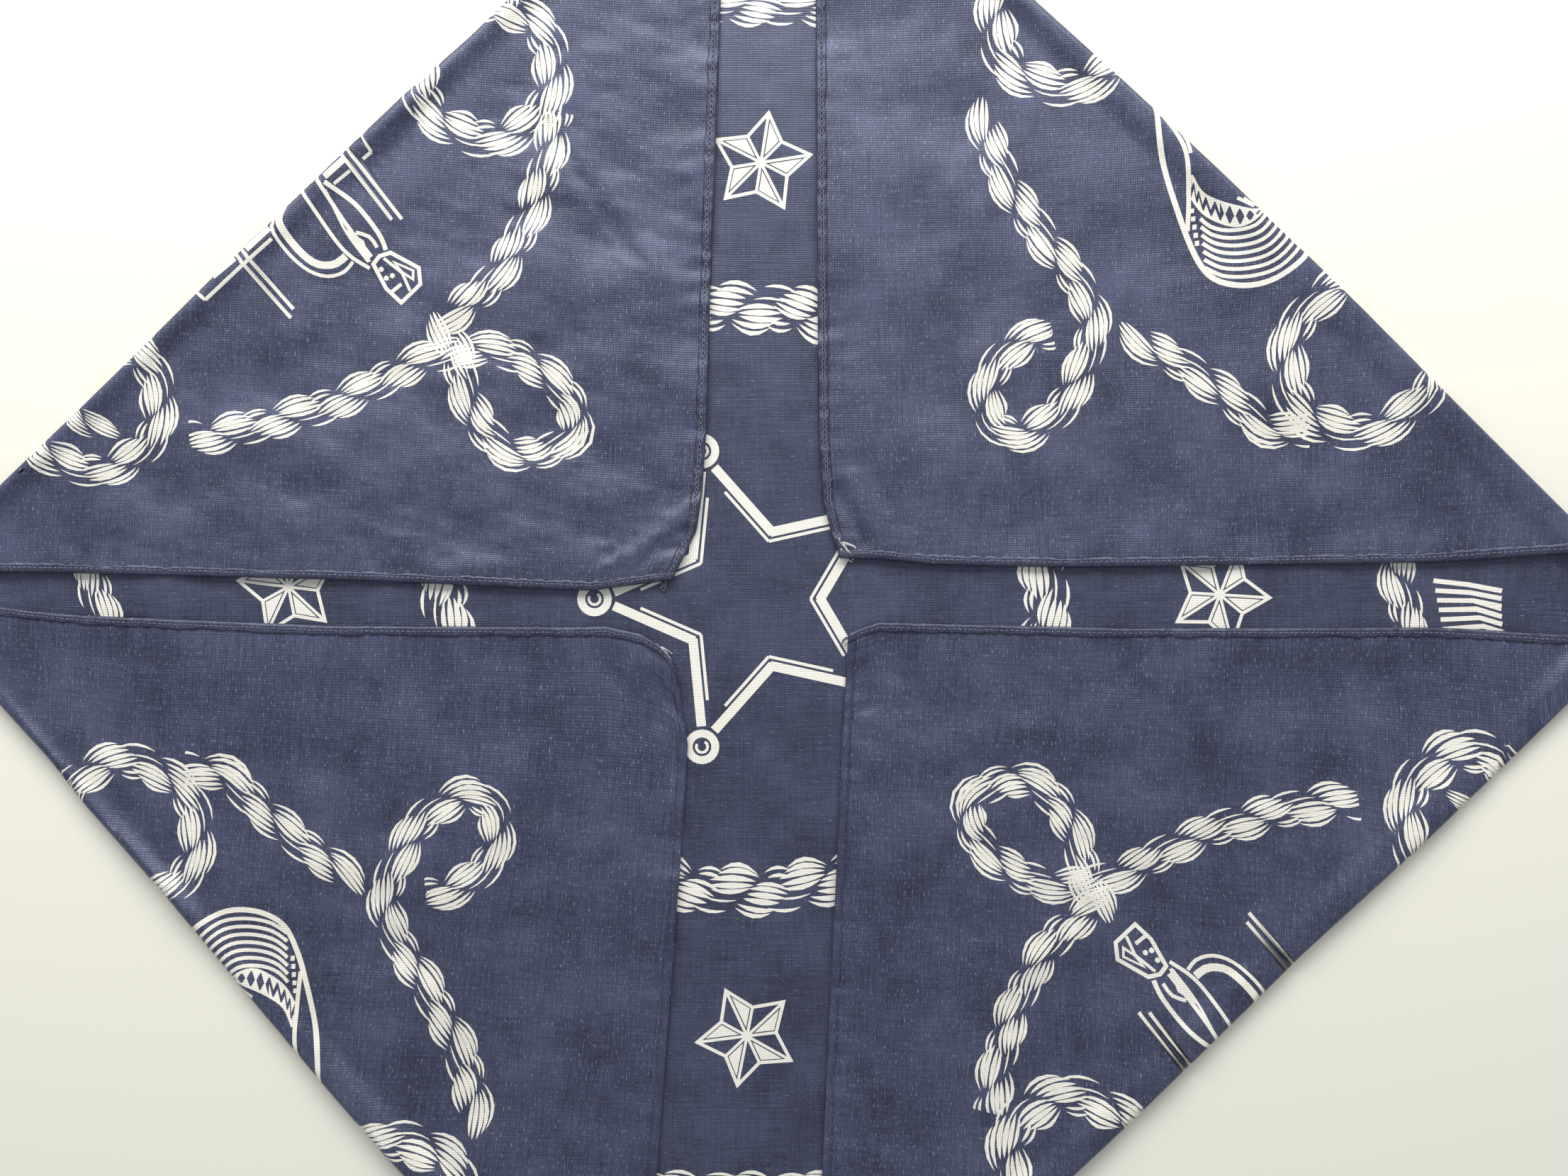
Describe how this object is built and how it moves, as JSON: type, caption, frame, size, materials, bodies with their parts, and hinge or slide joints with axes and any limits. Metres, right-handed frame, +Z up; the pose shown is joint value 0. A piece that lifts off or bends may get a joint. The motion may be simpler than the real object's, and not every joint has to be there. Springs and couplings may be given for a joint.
{
  "type": "folded bandana",
  "caption": "Square printed cotton bandana lying flat with its corners folded in to the middle; each corner flap opens about its fold.",
  "frame": {"origin": "middle of the cloth's finished outline, on the surface it lies on", "axes": "+X right along the top hem, +Y up towards the top hem, +Z up off the table"},
  "size_m": [0.559, 0.533, 0.003],
  "materials": {
    "cloth": "matt plain-weave cotton, dyed navy and printed through in off-white",
    "hem": "matt turned cotton hem",
    "selvedge": "matt woven cotton selvedge",
    "sewing_thread": "spun polyester-cotton sewing thread",
    "thread_tail": "frayed undyed cotton thread ends"
  },
  "bodies": {
    "centre": {"centre_panel": "cloth", "fold_upper_left": "cloth", "fold_upper_right": "cloth", "fold_lower_right": "cloth", "fold_lower_left": "cloth", "hem_top_centre": "hem", "hem_left_centre": "hem", "hem_right_centre": "hem", "selvedge_bottom_centre": "selvedge", "needle_thread_top_centre": "sewing_thread", "needle_thread_left_centre": "sewing_thread", "needle_thread_right_centre": "sewing_thread", "looper_thread_top_centre": "sewing_thread", "bobbin_thread_left_centre": "sewing_thread", "bobbin_thread_right_centre": "sewing_thread"},
    "flap_upper_left": {"flap_upper_left": "cloth", "hem_top_upper_left": "hem", "hem_left_upper_left": "hem", "needle_thread_top_upper_left": "sewing_thread", "needle_thread_left_upper_left": "sewing_thread", "looper_thread_top_upper_left": "sewing_thread", "bobbin_thread_left_upper_left": "sewing_thread", "thread_tail_upper_left": "thread_tail"},
    "flap_upper_right": {"flap_upper_right": "cloth", "hem_top_upper_right": "hem", "hem_right_upper_right": "hem", "needle_thread_top_upper_right": "sewing_thread", "needle_thread_right_upper_right": "sewing_thread", "looper_thread_top_upper_right": "sewing_thread", "bobbin_thread_right_upper_right": "sewing_thread", "thread_tail_upper_right": "thread_tail"},
    "flap_lower_right": {"flap_lower_right": "cloth", "selvedge_lower_right": "selvedge", "hem_right_lower_right": "hem", "needle_thread_right_lower_right": "sewing_thread", "bobbin_thread_right_lower_right": "sewing_thread", "thread_tail_lower_right": "thread_tail"},
    "flap_lower_left": {"flap_lower_left": "cloth", "selvedge_lower_left": "selvedge", "hem_left_lower_left": "hem", "needle_thread_left_lower_left": "sewing_thread", "bobbin_thread_left_lower_left": "sewing_thread", "thread_tail_lower_left": "thread_tail"}
  },
  "joints": [
    {"name": "upper_left_fold", "type": "hinge", "parent": "centre", "child": "flap_upper_left", "pos_m": [-0.14375, 0.13725, 0.0015], "axis": [-0.7242, -0.6896, 0], "range_deg": [0, 179]},
    {"name": "upper_right_fold", "type": "hinge", "parent": "centre", "child": "flap_upper_right", "pos_m": [0.15125, 0.13975, 0.0015], "axis": [-0.7113, 0.7029, 0], "range_deg": [0, 179]},
    {"name": "lower_right_fold", "type": "hinge", "parent": "centre", "child": "flap_lower_right", "pos_m": [0.14975, -0.14275, 0.0015], "axis": [0.7236, 0.6902, 0], "range_deg": [0, 179]},
    {"name": "lower_left_fold", "type": "hinge", "parent": "centre", "child": "flap_lower_left", "pos_m": [-0.15875, -0.13625, 0.0015], "axis": [0.6799, -0.7333, 0], "range_deg": [0, 179]}
  ]
}
